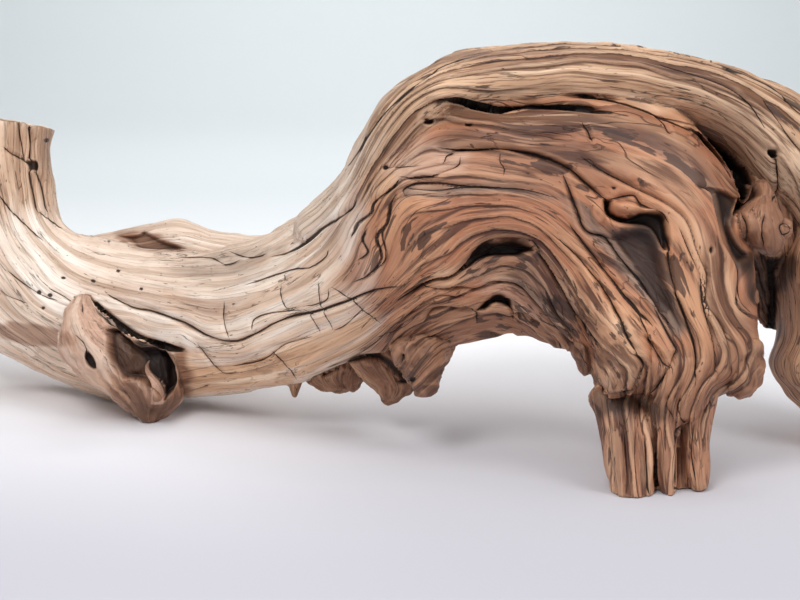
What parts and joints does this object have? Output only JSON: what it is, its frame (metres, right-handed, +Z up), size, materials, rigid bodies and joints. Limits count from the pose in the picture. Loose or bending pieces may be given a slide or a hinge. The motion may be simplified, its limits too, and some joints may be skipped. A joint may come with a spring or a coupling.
{
  "type": "driftwood branch",
  "caption": "Weathered, gnarled driftwood branch: a sawn-off limb that rises into a broad folded arch and stands on short legs; decor or terrarium wood.",
  "frame": {"origin": "middle of the bounding box, on the floor that the branch stands on", "axes": "+X along the branch, from its sawn-off end to the folded arch; +Y from the viewer's side to the back; +Z up"},
  "size_m": [0.8672, 0.4252, 0.3222],
  "materials": {
    "driftwood": "weathered, bare"
  },
  "bodies": {
    "root": {"branch": "driftwood"}
  },
  "joints": []
}
